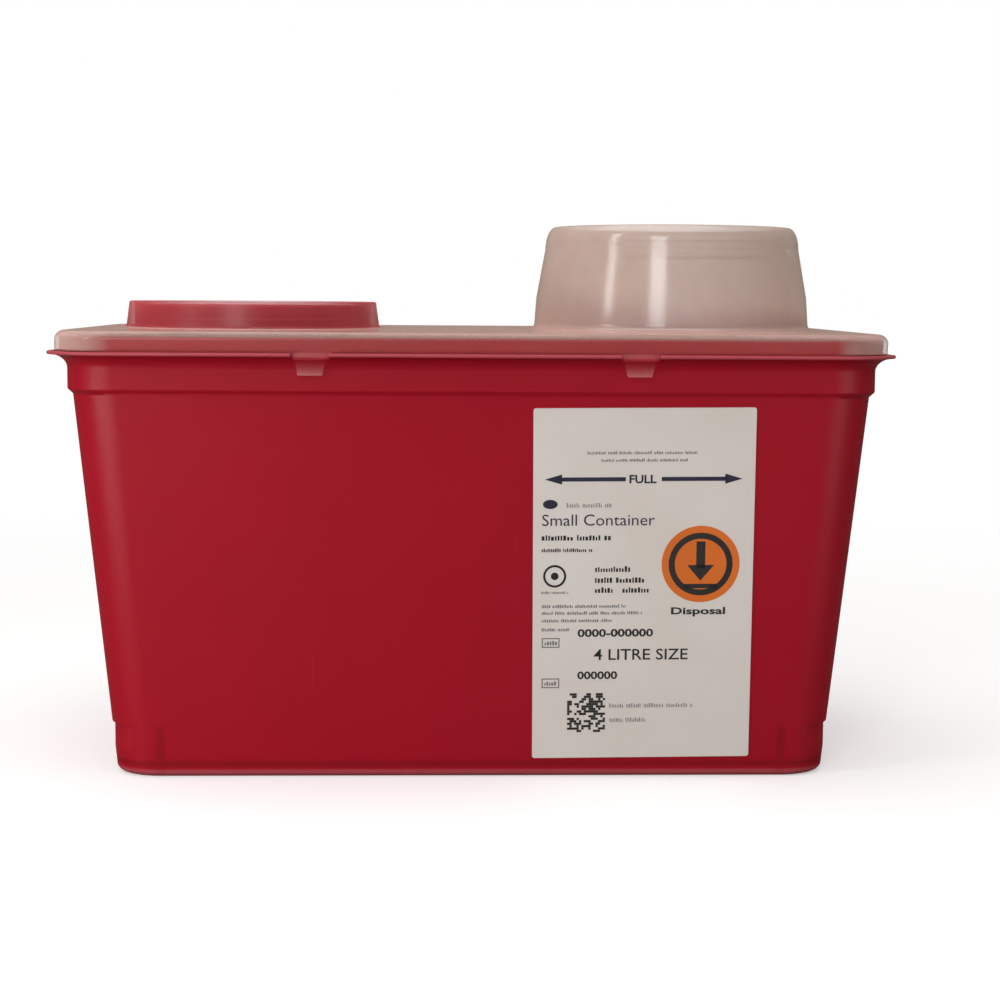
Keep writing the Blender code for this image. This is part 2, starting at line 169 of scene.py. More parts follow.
def soft_light(name, place, size, power):
    """A softbox at a place in metres, turned towards the container's middle."""
    data = bpy.data.lights.new(name, "AREA")
    data.shape = "RECTANGLE"
    data.size, data.size_y = size
    data.energy = power
    made = bpy.data.objects.new(name, data)
    scene.collection.objects.link(made)
    made.location = place
    facing = (cad_low + cad_high) / 2 - made.location
    made.rotation_euler = facing.to_track_quat("-Z", "Y").to_euler()


soft_light("top_light", (-0.1, -0.1, 1.4), (1.6, 1.3), 9.5)
soft_light("window_light", (-0.36, -1.33, 0.62), (0.33, 0.62), 4.6)
soft_light("side_strip", (-0.58, -0.375, 0.45), (0.10, 0.40), 0.75)
soft_light("low_left_light", (-0.36, -0.36, 0.05), (0.3, 0.08), 0.80)
soft_light("low_right_light", (0.46, -0.46, 0.06), (0.3, 0.08), 0.60)
soft_light("back_light", (0.15, 1.2, 0.06), (0.9, 0.09), 1.6)  # lower than the lid's top

ROOM_TOP = (0.36, 0.355, 0.35, 1.0)
ROOM_LOW = (0.15, 0.145, 0.14, 1.0)
ROOM_BEHIND = (0.27, 0.215, 0.18, 1.0)
world = bpy.data.worlds.new("bright_room")
world.use_nodes = True
scene.world = world
tree = world.node_tree
room = tree.nodes["Background"]
room.inputs["Strength"].default_value = 1.0
heading = add_node(tree, "ShaderNodeTexCoord").outputs["Generated"]
upward = add_node(tree, "ShaderNodeSeparateXYZ", {"Vector": heading}).outputs["Z"]
behind = add_node(tree, "ShaderNodeSeparateXYZ", {"Vector": heading}).outputs["Y"]
lit = blended(tree, spread(tree, upward, -0.1, 0.7), ROOM_LOW, ROOM_TOP)
lit = blended(tree, spread(tree, behind, 0.2, 0.9), lit, ROOM_BEHIND)
tree.links.new(lit, room.inputs["Color"])
backdrop = add_node(tree, "ShaderNodeBackground", {"Color": (1, 1, 1, 1), "Strength": 1.0})
seen = add_node(tree, "ShaderNodeLightPath").outputs["Is Camera Ray"]
mixed = add_node(tree, "ShaderNodeMixShader", {0: seen, 1: room.outputs[0], 2: backdrop.outputs[0]})
tree.links.new(mixed.outputs[0], tree.nodes["World Output"].inputs["Surface"])

# Tub ------------------------------------------------------------------------------------
# One injection moulding in red polypropylene: a base raised inside a resting band, drafted
# walls, a small step to an upright band, a cove under a thin flange, and the rim that the lid
# covers. The flange has four notches for the lid's snap tabs.
tub_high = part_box("tub")[1]
HALF_LENGTH, HALF_DEPTH = tub_high.x, tub_high.y
TUB_HEIGHT = tub_high.z
TUB_WALL = 1.5 * MM
TUB_FLOOR = 1.8 * MM
WALL_DRAFT = math.radians(5.3)
FLANGE_THICKNESS = 1.0 * MM
FLANGE_TIP = 0.35 * MM
FLANGE_CORNER = 22.0 * MM
RIM_HEIGHT = 4.7 * MM
RIM_INSET = 4.1 * MM
RIM_ROUNDING = 0.7 * MM
COVE_REACH = 5.6 * MM
COVE_DROP = 4.2 * MM
BAND_INSET = 6.2 * MM
BAND_HEIGHT = 6.0 * MM
STEP_DEPTH = 1.5 * MM
STEP_HEIGHT = 2.0 * MM
STEP_ROUNDING = 1.0 * MM
WALL_CORNER = 15.5 * MM
BASE_CORNER = 13.0 * MM
BASE_EDGE = 2.6 * MM
BASE_HOLLOW = 0.8 * MM
BASE_BAND = 9.0 * MM
FOOT_LOW = 8.0 * MM
FOOT_HIGH = 16.5 * MM
FOOT_START = 107.0 * MM  # each foot pocket starts part of the way round its corner
FOOT_REACH = 35.5 * MM  # and runs this far back from the flange's corner
RIB_X = 97.9 * MM  # a short upright rib inside, near each corner
RIB_WIDTH = 2.2 * MM
RIB_TOP = 16.5 * MM
RIB_FACES = (53.8 * MM, 57.2 * MM)
CORNER_STEPS = 16

FLANGE_TOP = TUB_HEIGHT - RIM_HEIGHT
FLANGE_UNDERSIDE = FLANGE_TOP - FLANGE_THICKNESS
BAND_TOP = FLANGE_UNDERSIDE - COVE_DROP
BAND_BOTTOM = BAND_TOP - BAND_HEIGHT
WALL_TOP = BAND_BOTTOM - STEP_HEIGHT


def arc(centre_a, centre_b, radius, start, end, steps=6):
    """Points of an arc in a plane, from one angle to another in degrees, both ends included."""
    radius_a, radius_b = radius if isinstance(radius, tuple) else (radius, radius)
    angles = [math.radians(start + (end - start) * i / steps) for i in range(steps + 1)]
    return [(centre_a + radius_a * math.cos(t), centre_b + radius_b * math.sin(t)) for t in angles]


def wall_inset(z):
    """How far the drafted wall stands in from the flange's tip at a height."""
    return BAND_INSET + STEP_DEPTH + (WALL_TOP - z) * math.tan(WALL_DRAFT)


def wall_corner(z):
    """The drafted wall's corner radius at a height."""
    return BASE_CORNER + (WALL_CORNER - BASE_CORNER) * z / WALL_TOP


def parallel_corner(inset):
    """Corner radius of an outline that runs parallel to the flange's."""
    return max(FLANGE_CORNER - inset, WALL_CORNER)


def rounded_plate(bm, section):
    """A flat rectangle with round corners, in from the flange's outline; returns its edges."""
    inset, z, corner = section
    verts = bmesh.ops.create_grid(bm, x_segments=1, y_segments=1, size=1.0)["verts"]
    bmesh.ops.scale(bm, vec=(HALF_LENGTH - inset, HALF_DEPTH - inset, 1.0), verts=verts)
    bmesh.ops.translate(bm, vec=(0, 0, z), verts=verts)
    bmesh.ops.bevel(
        bm,
        geom=verts,
        offset=corner,
        segments=CORNER_STEPS,
        profile=0.5,
        affect="VERTICES",
        material=-1,
    )
    return list(bm.edges)


def corner_centre(section, side_x, side_y):
    """The middle of one of a section's round corners."""
    inset, z, corner = section
    reach = inset + corner
    return Vector((side_x * (HALF_LENGTH - reach), side_y * (HALF_DEPTH - reach), z))


def carry_ring(bm, ring, old, new):
    """Extrudes a ring of edges and moves each of its corners from one section to the next."""
    made = bmesh.ops.extrude_edge_only(bm, edges=ring)["geom"]
    verts = {part for part in made if isinstance(part, bmesh.types.BMVert)}
    growth = new[2] / old[2]
    for side_x, side_y in ((1, 1), (-1, 1), (-1, -1), (1, -1)):
        corner = [v for v in verts if v.co.x * side_x > 0 and v.co.y * side_y > 0]
        before = corner_centre(old, side_x, side_y)
        after = corner_centre(new, side_x, side_y)
        space = Matrix.Translation(-before)
        bmesh.ops.scale(bm, vec=(growth, growth, 1.0), space=space, verts=corner)
        bmesh.ops.translate(bm, vec=after - before, verts=corner)
    edges = [part for part in made if isinstance(part, bmesh.types.BMEdge)]
    return [e for e in edges if e.verts[0] in verts and e.verts[1] in verts]


def carry_through(bm, ring, sections):
    """Carries a ring through a list of sections, the first of which it lies in."""
    for old, new in zip(sections, sections[1:]):
        ring = carry_ring(bm, ring, old, new)
    return ring


def raw_piece(bm, name, material=None):
    """The bmesh as an object with its faces outwards."""
    bmesh.ops.recalc_face_normals(bm, faces=bm.faces)
    mesh = bpy.data.meshes.new(name)
    bm.to_mesh(mesh)
    bm.free()
    if material:
        mesh.materials.append(material)
    made = bpy.data.objects.new(name, mesh)
    scene.collection.objects.link(made)
    return made


def combine(target, operation, other):
    """Cuts or joins one closed piece with another, which is used up."""
    boolean = target.modifiers.new("boolean", "BOOLEAN")
    boolean.operation = operation
    boolean.object = other
    boolean.solver = "EXACT"
    before = target.data
    result = target.evaluated_get(bpy.context.evaluated_depsgraph_get())
    target.data = bpy.data.meshes.new_from_object(result)
    target.modifiers.clear()
    target.data.name = target.name
    bpy.data.meshes.remove(before)
    bpy.data.objects.remove(other)


def add_box(bm, low, high):
    """A box between two corners; returns its vertices."""
    verts = bmesh.ops.create_cube(bm, size=1.0)["verts"]
    bmesh.ops.scale(bm, vec=[b - a for a, b in zip(low, high)], verts=verts)
    bmesh.ops.translate(bm, vec=[(a + b) / 2 for a, b in zip(low, high)], verts=verts)
    return verts


def shade(piece, sharp=40.0):
    """Smooth shading that keeps sharp edges and leaves flat faces flat."""
    piece.data.shade_smooth()
    piece.data.set_sharp_from_angle(angle=math.radians(sharp))
    flats = piece.modifiers.new("flat faces lead", "WEIGHTED_NORMAL")
    flats.keep_sharp = True
    flats.weight = 100


def moulded_skin():
    """Shader group for moulded polypropylene: slow mottling, flow streaks, grain and scuffs."""
    group = bpy.data.node_groups.new("moulded_skin", "ShaderNodeTree")
    sockets = group.interface
    sockets.new_socket("Colour", in_out="INPUT", socket_type="NodeSocketColor")
    sockets.new_socket("Deep Colour", in_out="INPUT", socket_type="NodeSocketColor")
    sockets.new_socket("Scuff Colour", in_out="INPUT", socket_type="NodeSocketColor")
    for name in ("Mottling", "Roughness", "Scuffing"):
        sockets.new_socket(name, in_out="INPUT", socket_type="NodeSocketFloat")
    sockets.new_socket("Colour", in_out="OUTPUT", socket_type="NodeSocketColor")
    for name in ("Roughness", "Height"):
        sockets.new_socket(name, in_out="OUTPUT", socket_type="NodeSocketFloat")
    given = add_node(group, "NodeGroupInput").outputs
    place = add_node(group, "ShaderNodeTexCoord").outputs["Object"]

    cloud = noise(group, place, 14.0, 3.0, 0.55)
    streaked = add_node(group, "ShaderNodeMapping", {"Vector": place, "Scale": (90.0, 90.0, 9.0)})
    streak = noise(group, streaked.outputs[0], 1.0, 2.0)
    grain = noise(group, place, 900.0, 2.0)
    fine = noise(group, place, 3200.0, 1.0)
    slanted = {"Vector": place, "Rotation": (0.4, 0.7, 0.5), "Scale": (700.0, 30.0, 30.0)}
    scratch = noise(group, add_node(group, "ShaderNodeMapping", slanted).outputs[0], 1.0, 3.0, 0.6)
    rubbed = noise(group, place, 22.0, 2.0)
    scuff = maths(group, "MULTIPLY", spread(group, scratch, 0.66, 0.74), spread(group, rubbed, 0.5, 0.7))
    scuff = maths(group, "MULTIPLY", scuff, given["Scuffing"])

    slow = maths(group, "ADD", maths(group, "MULTIPLY", cloud, 0.7), maths(group, "MULTIPLY", streak, 0.3))
    share = maths(group, "MULTIPLY", spread(group, slow, 0.35, 0.65), given["Mottling"])
    colour = blended(group, share, given["Colour"], given["Deep Colour"])
    colour = blended(group, scuff, colour, given["Scuff Colour"])
    rough = maths(group, "ADD", given["Roughness"], spread(group, grain, 0.3, 0.7, -0.04, 0.04))
    rough = maths(group, "ADD", rough, spread(group, rubbed, 0.3, 0.7, -0.03, 0.03))
    rough = maths(group, "ADD", rough, maths(group, "MULTIPLY", scuff, 0.2), clamp=True)
    height = maths(group, "ADD", maths(group, "MULTIPLY", grain, 0.6), maths(group, "MULTIPLY", fine, 0.25))
    height = maths(group, "ADD", height, maths(group, "MULTIPLY", streak, 0.6))
    height = maths(group, "SUBTRACT", height, maths(group, "MULTIPLY", scuff, 0.3))
    ends = {"Colour": colour, "Roughness": rough, "Height": height}
    add_node(group, "NodeGroupOutput", ends)
    return group


SKIN = moulded_skin()


def skinned(tree, shader, colours, mottling, roughness, scuffing, bump=0.25):
    """Puts the moulded skin on a shader and returns its outputs, for what is laid over them."""
    skin = add_node(tree, "ShaderNodeGroup", node_tree=SKIN)
    for name, value in zip(("Colour", "Deep Colour", "Scuff Colour"), colours):
        skin.inputs[name].default_value = (*value, 1.0)
    skin.inputs["Mottling"].default_value = mottling
    skin.inputs["Roughness"].default_value = roughness
    skin.inputs["Scuffing"].default_value = scuffing
    relief = {"Height": skin.outputs["Height"], "Strength": bump, "Distance": 0.1 * MM}
    bumped = add_node(tree, "ShaderNodeBump", relief)
    tree.links.new(bumped.outputs["Normal"], shader.inputs["Normal"])
    tree.links.new(skin.outputs["Roughness"], shader.inputs["Roughness"])
    tree.links.new(skin.outputs["Colour"], shader.inputs["Base Color"])
    return skin.outputs


TUB_RED = (0.375, 0.005, 0.017)
TUB_DEEP_RED = (0.325, 0.004, 0.014)
TUB_SCUFF = (0.45, 0.05, 0.06)
# a deeper red painted on as shade: along the floor's joint and over the inner ribs
PAINTED_SHADE_RED = (0.20, 0.004, 0.006, 1.0)
PAINTED_LIGHT_RED = (0.52, 0.11, 0.13, 1.0)  # paler red painted on as light: a glow through the thin flange, and a painted reflection of the bench on the bottom edge
FLOOR_LINE = 4.4 * MM  # where the floor meets the wall; a dark line of painted shade runs along it
FLOOR_LINE_HALF = 1.6 * MM
FLOOR_LINE_SHADE = 0.75
RIB_SHADE = 0.5
FLANGE_GLOW_SHARE = 0.6
BASE_SHEEN_SHARE = 0.65

red_plastic, tree, shader = new_material("red_polypropylene")
red = skinned(tree, shader, (TUB_RED, TUB_DEEP_RED, TUB_SCUFF), 0.5, 0.42, 0.35)["Colour"]
shader.inputs["Specular IOR Level"].default_value = 0.2
place = add_node(tree, "ShaderNodeTexCoord").outputs["Object"]
axes = add_node(tree, "ShaderNodeSeparateXYZ", {"Vector": place}).outputs
# painted shade: a band of deeper red at the floor joint's height, all round the tub
from_line = maths(tree, "ABSOLUTE", maths(tree, "SUBTRACT", axes["Z"], FLOOR_LINE))
painted_shade = spread(tree, from_line, 0.0, FLOOR_LINE_HALF, FLOOR_LINE_SHADE, 0.0)
# painted light: the flange is mixed towards the paler red, for light shining through it
flange_middle = FLANGE_TOP - FLANGE_THICKNESS / 2
from_flange = maths(tree, "ABSOLUTE", maths(tree, "SUBTRACT", axes["Z"], flange_middle))
flange_glow = spread(tree, from_flange, 0.5 * FLANGE_THICKNESS, 0.8 * FLANGE_THICKNESS, FLANGE_GLOW_SHARE, 0.0)
red = blended(tree, flange_glow, red, PAINTED_LIGHT_RED)
# painted reflection: the bottom edge is mixed towards the paler red, for the bench's light on it
edge = spread(tree, axes["Z"], 0.7 * BASE_EDGE, 1.1 * BASE_EDGE, BASE_SHEEN_SHARE, 0.0)
red = blended(tree, edge, red, PAINTED_LIGHT_RED)
# painted shade: an upright band of deeper red over each inner rib, from the floor to the rib's top
from_rib = maths(tree, "ABSOLUTE", maths(tree, "SUBTRACT", maths(tree, "ABSOLUTE", axes["X"]), RIB_X))
rib = spread(tree, from_rib, 0.4 * RIB_WIDTH, 0.8 * RIB_WIDTH, 1.0, 0.0)
rib = maths(tree, "MULTIPLY", rib, spread(tree, axes["Z"], RIB_TOP - MM, RIB_TOP + MM, RIB_SHADE, 0.0))
rib = maths(tree, "MULTIPLY", rib, spread(tree, axes["Z"], 0.0, FLOOR_LINE))
painted_shade = maths(tree, "MAXIMUM", painted_shade, rib)
tree.links.new(blended(tree, painted_shade, red, PAINTED_SHADE_RED), shader.inputs["Base Color"])

floor_z = BASE_HOLLOW + TUB_FLOOR
base_inset = wall_inset(BASE_EDGE)
outside = [(base_inset + BASE_BAND + BASE_HOLLOW, BASE_HOLLOW, BASE_CORNER / 2)]
outside += [(base_inset + BASE_BAND, 0.0, BASE_CORNER / 2)]
outside += [(i, z, BASE_CORNER) for i, z in arc(base_inset + BASE_EDGE, BASE_EDGE, BASE_EDGE, 270, 180)]
outside += [(wall_inset(z), z, wall_corner(z)) for z in (FOOT_LOW, FOOT_HIGH, WALL_TOP)]

profile = arc(BAND_INSET + STEP_ROUNDING, BAND_BOTTOM, STEP_ROUNDING, 240, 180)
profile += arc(BAND_INSET - COVE_REACH, BAND_TOP, (COVE_REACH, COVE_DROP), 0, 90, 10)
profile += arc(FLANGE_TIP, FLANGE_UNDERSIDE + FLANGE_TIP, FLANGE_TIP, 270, 180, 3)
profile += arc(FLANGE_TIP, FLANGE_TOP - FLANGE_TIP, FLANGE_TIP, 180, 90, 3)
profile += [(RIM_INSET, FLANGE_TOP)]
rim_edge = TUB_HEIGHT - RIM_ROUNDING
rim_middle = RIM_INSET + TUB_WALL / 2
profile += arc(rim_middle, rim_edge, (TUB_WALL / 2, RIM_ROUNDING), 180, 0, 8)
profile += [(RIM_INSET + TUB_WALL, FLANGE_UNDERSIDE)]
profile += [(BAND_INSET + TUB_WALL, BAND_TOP), (BAND_INSET + TUB_WALL, BAND_BOTTOM)]
upper = [(inset, z, parallel_corner(inset)) for inset, z in profile]

inner_edge_z = floor_z + BASE_EDGE
inner_inset = wall_inset(inner_edge_z) + TUB_WALL
inside = [(wall_inset(WALL_TOP) + TUB_WALL, WALL_TOP, WALL_CORNER - TUB_WALL)]
floor_edge = arc(inner_inset + BASE_EDGE, inner_edge_z, BASE_EDGE, 180, 270)
inside += [(inset, z, BASE_CORNER - TUB_WALL) for inset, z in floor_edge]

tub_sections = outside + upper + inside
bm = bmesh.new()
ring = rounded_plate(bm, tub_sections[0])
ring = carry_through(bm, ring, tub_sections)
bmesh.ops.holes_fill(bm, edges=ring)

tub = raw_piece(bm, "red_tub", red_plastic)

foot_inset = wall_inset(FOOT_LOW)
bm = bmesh.new()
for side_x in (-1, 1):
    for side_y in (-1, 1):
        near = Vector((side_x * FOOT_START, side_y * (HALF_DEPTH - FOOT_REACH), FOOT_LOW))
        far = Vector((side_x * HALF_LENGTH, side_y * HALF_DEPTH, FOOT_HIGH))
        add_box(bm, *zip(*(sorted(pair) for pair in zip(near, far))))
foot_cutter = raw_piece(bm, "foot_cutter")
bm = bmesh.new()
core_low = (foot_inset, FOOT_LOW - MM, BASE_CORNER)
core_high = (foot_inset, FOOT_HIGH + MM, BASE_CORNER)
ring = carry_ring(bm, rounded_plate(bm, core_low), core_low, core_high)
bmesh.ops.holes_fill(bm, edges=ring)
combine(foot_cutter, "DIFFERENCE", raw_piece(bm, "foot_core"))
combine(tub, "DIFFERENCE", foot_cutter)

bm = bmesh.new()
for side_x in (-1, 1):
    for side_y in (-1, 1):
        y_low, y_high = sorted(side_y * face for face in RIB_FACES)
        x_low = side_x * RIB_X - RIB_WIDTH / 2
        add_box(bm, (x_low, y_low, floor_z - MM), (x_low + RIB_WIDTH, y_high, RIB_TOP))
combine(tub, "UNION", raw_piece(bm, "corner_ribs"))

TAB_X = 50.0 * MM
TAB_WIDTH = 10.4 * MM
TAB_OUTSIDE = 2.55 * MM  # the tab's outer and inner face, in from the flange's tip
TAB_INSIDE = 3.65 * MM
NOTCH_ENDS = 0.7 * MM
NOTCH_BACK = 0.3 * MM
bm = bmesh.new()
for side in (-1, 1):
    for x in (-TAB_X, TAB_X):
        back = HALF_DEPTH - TAB_INSIDE - NOTCH_BACK
        half = TAB_WIDTH / 2 + NOTCH_ENDS
        y_low, y_high = sorted((side * (HALF_DEPTH + MM), side * back))
        add_box(bm, (x - half, y_low, BAND_TOP), (x + half, y_high, FLANGE_TOP + FLANGE_THICKNESS))
combine(tub, "DIFFERENCE", raw_piece(bm, "notch_cutter"))

shade(tub)
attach(tub, "tub_body")
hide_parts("tub")

# Lid ------------------------------------------------------------------------------------
# One injection moulding in natural polypropylene, milky and see-through: a panel with a
# rounded edge and a skirt, an inner rib, four snap tabs, the open chimney and the low collar.
# It is pressed on over the tub's rim until the tabs go through the flange's notches.
lid_low, lid_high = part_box("lid")
LID_WALL = 1.4 * MM
LID_EDGE = 3.0 * MM
LID_INNER_EDGE = 1.0 * MM
LID_GAP = 0.3 * MM
RIB_DEPTH = 5.0 * MM
RIB_THICKNESS = 1.2 * MM
CHIMNEY_HEIGHT = 34.2 * MM
CHIMNEY_X = HALF_LENGTH - 64.3 * MM
CHIMNEY_MOUTH = 38.2 * MM
CHIMNEY_SEAT = 39.3 * MM
CHIMNEY_LAND = 0.9 * MM
CHIMNEY_WALL = 1.5 * MM
SHOULDER = (3.4 * MM, 7.4 * MM)
WAIST = (6.3 * MM, 23.4 * MM)
FLARE = 6.9 * MM
CHIMNEY_FILLET = 2.5 * MM
LIP_HEIGHT = 3.5 * MM
LIP_SLOPE = 0.5 * MM
GROOVE_HEIGHT = 3.8 * MM
LEDGE_REACH = 0.8 * MM
LEDGE_HEIGHT = 1.2 * MM
LEDGE_SLOPE = 0.2 * MM
COLLAR_X = 59.2 * MM - HALF_LENGTH
COLLAR_BORE = 39.4 * MM
COLLAR_WALL = 1.7 * MM
COLLAR_HEIGHT = 8.8 * MM
COLLAR_FLARE = 0.9 * MM
COLLAR_FILLET = 1.6 * MM
TAB_TIP_WIDTH = 7.4 * MM
TAB_ROWS = (0.4, 0.6, 0.75, 0.88)  # the milkiness grows towards the tab's tip in these rows
EDGE_BREAK = 0.3 * MM
TURN_STEPS = 96

LID_TOP = lid_high.z - CHIMNEY_HEIGHT
LID_UNDERSIDE = LID_TOP - LID_WALL
SKIRT_INSET = HALF_LENGTH - lid_high.x
SKIRT_BOTTOM = FLANGE_TOP + LID_GAP
TAB_TIP = lid_low.z

NATURAL = (0.73, 0.555, 0.475)
NATURAL_DEEP = (0.67, 0.495, 0.415)
NATURAL_SCUFF = (0.75, 0.68, 0.62)
PAINTED_RED_GLOW = (0.70, 0.03, 0.06, 1.0)  # painted red glow: red light from the tub and the cap, seen through and bounced in the plastic
COLLAR_SATIN = 0.22  # the collar, where the most red glow is painted, is this much less glossy than the chimney
LEAST_FACING = 0.12  # keeps the way through the plastic finite where it is seen edge on

natural_plastic, tree, shader = new_material("natural_polypropylene")
skin = skinned(tree, shader, (NATURAL, NATURAL_DEEP, NATURAL_SCUFF), 0.5, 0.14, 0.1, 0.08)
shader.inputs["Specular IOR Level"].default_value = 0.9
# painted red glow, laid over the plastic's own colour by a share stored on the vertices
red_glow = add_node(tree, "ShaderNodeAttribute", attribute_name="red_glow").outputs["Fac"]
tree.links.new(blended(tree, red_glow, skin["Colour"], PAINTED_RED_GLOW), shader.inputs["Base Color"])
satin = maths(tree, "ADD", skin["Roughness"], maths(tree, "MULTIPLY", red_glow, COLLAR_SATIN))
tree.links.new(satin, shader.inputs["Roughness"])
milk = add_node(tree, "ShaderNodeAttribute", attribute_name="milk").outputs["Fac"]
place = add_node(tree, "ShaderNodeTexCoord").outputs["Object"]
haze = spread(tree, noise(tree, place, 40.0, 3.0), 0.3, 0.7, 0.85, 1.15)
clear = maths(tree, "SUBTRACT", 1.0, maths(tree, "MULTIPLY", milk, haze), clamp=True)
slant = add_node(tree, "ShaderNodeLayerWeight", {"Blend": 0.5}).outputs["Facing"]
facing = maths(tree, "MAXIMUM", maths(tree, "SUBTRACT", 1.0, slant), LEAST_FACING)
clear = maths(tree, "POWER", clear, maths(tree, "DIVIDE", 1.0, facing))
tree.links.new(maths(tree, "SUBTRACT", 1.0, clear, clamp=True), shader.inputs["Alpha"])


def spun(bm, profile, x):
    """Turns a (radius, z) profile about an upright axis at x."""
    points = [bm.verts.new((x + radius, 0.0, z)) for radius, z in profile]
    edges = [bm.edges.new(pair) for pair in zip(points, points[1:])]
    bmesh.ops.spin(
        bm,
        geom=points + edges,
        cent=(x, 0, 0),
        axis=(0, 0, 1),
        angle=2 * math.pi,
        steps=TURN_STEPS,
        use_merge=True,
    )
    bmesh.ops.remove_doubles(bm, verts=bm.verts, dist=0.01 * MM)


def open_edges_at(bm, z):
    """The open edges that lie at a height."""
    near = 0.01 * MM
    return [e for e in bm.edges if e.is_boundary and all(abs(v.co.z - z) < near for v in e.verts)]


rib_outer = RIM_INSET + TUB_WALL + LID_GAP
skirt_inner = SKIRT_INSET + LID_WALL
profile = arc(SKIRT_INSET + LID_EDGE, LID_TOP - LID_EDGE, LID_EDGE, 90, 180, 8)
profile += [(SKIRT_INSET, SKIRT_BOTTOM + EDGE_BREAK), (SKIRT_INSET + EDGE_BREAK, SKIRT_BOTTOM)]
profile += [(skirt_inner, SKIRT_BOTTOM)]
inner_edge_z = LID_UNDERSIDE - LID_INNER_EDGE
profile += arc(skirt_inner + LID_INNER_EDGE, inner_edge_z, LID_INNER_EDGE, 180, 90, 4)
profile += [(rib_outer, LID_UNDERSIDE), (rib_outer, LID_UNDERSIDE - RIB_DEPTH)]
profile += [(rib_outer + RIB_THICKNESS, LID_UNDERSIDE - RIB_DEPTH)]
profile += [(rib_outer + RIB_THICKNESS, LID_UNDERSIDE)]
lid_sections = [(inset, z, parallel_corner(inset)) for inset, z in profile]

bm = bmesh.new()
ring = rounded_plate(bm, lid_sections[0])
bmesh.ops.delete(bm, geom=list(bm.faces), context="FACES_ONLY")
carry_through(bm, ring, lid_sections)

rim = CHIMNEY_MOUTH + CHIMNEY_LAND
foot = rim + FLARE
profile = arc(foot + CHIMNEY_FILLET, CHIMNEY_FILLET, CHIMNEY_FILLET, 270, 180, 8)
profile += [(rim + WAIST[0], CHIMNEY_HEIGHT - WAIST[1])]
profile += arc(rim, CHIMNEY_HEIGHT - SHOULDER[1], SHOULDER, 0, 90, 12)
lip_z = CHIMNEY_HEIGHT - LIP_HEIGHT
ledge_z = lip_z - GROOVE_HEIGHT
profile += [(CHIMNEY_MOUTH + EDGE_BREAK, CHIMNEY_HEIGHT), (CHIMNEY_MOUTH, CHIMNEY_HEIGHT - EDGE_BREAK)]
profile += [(CHIMNEY_MOUTH, lip_z + LIP_SLOPE), (CHIMNEY_SEAT, lip_z), (CHIMNEY_SEAT, ledge_z)]
profile += [(CHIMNEY_SEAT - LEDGE_REACH, ledge_z - LEDGE_SLOPE)]
profile += [(CHIMNEY_SEAT - LEDGE_REACH, ledge_z - LEDGE_HEIGHT)]
profile += [(rim + WAIST[0] / 2 - CHIMNEY_WALL, ledge_z - 2 * LEDGE_HEIGHT)]
profile += [(rim + WAIST[0] - CHIMNEY_WALL, CHIMNEY_HEIGHT - WAIST[1])]
profile += [(foot - CHIMNEY_WALL, 0.0), (foot - CHIMNEY_WALL, -LID_WALL)]
spun(bm, [(radius, LID_TOP + z) for radius, z in profile], CHIMNEY_X)

outer = COLLAR_BORE + COLLAR_WALL
foot = outer + COLLAR_FLARE
rounding = COLLAR_WALL / 3
profile = arc(foot + COLLAR_FILLET, COLLAR_FILLET, COLLAR_FILLET, 270, 180, 6)
profile += arc(outer - rounding, COLLAR_HEIGHT - rounding, rounding, 0, 90, 4)
profile += arc(COLLAR_BORE + rounding, COLLAR_HEIGHT - rounding, rounding, 90, 180, 4)
profile += [(COLLAR_BORE, 0.0), (0.0, 0.0)]
spun(bm, [(radius, LID_TOP + z) for radius, z in profile], COLLAR_X)

for level, up in ((LID_TOP, 1), (LID_UNDERSIDE, -1)):
    edges = open_edges_at(bm, level)
    bmesh.ops.triangle_fill(bm, edges=edges, use_beauty=True, normal=(0, 0, up))

lid = raw_piece(bm, "natural_lid", natural_plastic)

for side in (-1, 1):
    for x in (-TAB_X, TAB_X):
        bm = bmesh.new()
        y_low, y_high = sorted((side * (HALF_DEPTH - TAB_OUTSIDE), side * (HALF_DEPTH - TAB_INSIDE)))
        tab = add_box(bm, (x - TAB_WIDTH / 2, y_low, TAB_TIP), (x + TAB_WIDTH / 2, y_high, SKIRT_BOTTOM))
        space = Matrix.Translation((-x, 0, 0))
        tip = [v for v in tab if v.co.z < TAB_TIP + MM]
        bmesh.ops.scale(bm, vec=(TAB_TIP_WIDTH / TAB_WIDTH, 1, 1), space=space, verts=tip)
        bmesh.ops.translate(bm, vec=(0, 0, MM), verts=[v for v in tab if v not in tip])
        edges = [e for e in bm.edges if all(v in tip for v in e.verts)]
        edges += [e for e in bm.edges if sum(v in tip for v in e.verts) == 1]
        bmesh.ops.bevel(
            bm,
            geom=edges,
            offset=EDGE_BREAK,
            segments=3,
            profile=0.5,
            affect="EDGES",
            material=-1,
        )
        for share in TAB_ROWS:
            level = (0.0, 0.0, SKIRT_BOTTOM + (TAB_TIP - SKIRT_BOTTOM) * share)
            parts = [*bm.verts, *bm.edges, *bm.faces]
            bmesh.ops.bisect_plane(bm, geom=parts, plane_co=level, plane_no=(0, 0, 1))
        combine(lid, "UNION", raw_piece(bm, "tab"))

CLOUD = {"panel": 0.5, "edge": 0.5, "skirt": 0.05, "chimney": 0.5, "collar": 0.32, "tab": 0.0}
# the share of painted red glow in each part of the lid
RED_GLOW_SHARE = {"panel": 0.2, "edge": 0.2, "skirt": 0.12, "chimney": 0.0, "collar": 0.92, "tab": 0.5}
CORNER_CLOUD = 0.32  # the skirt bends at each corner, so there it is looked through lengthways
TAB_TIP_CLOUD = 0.34
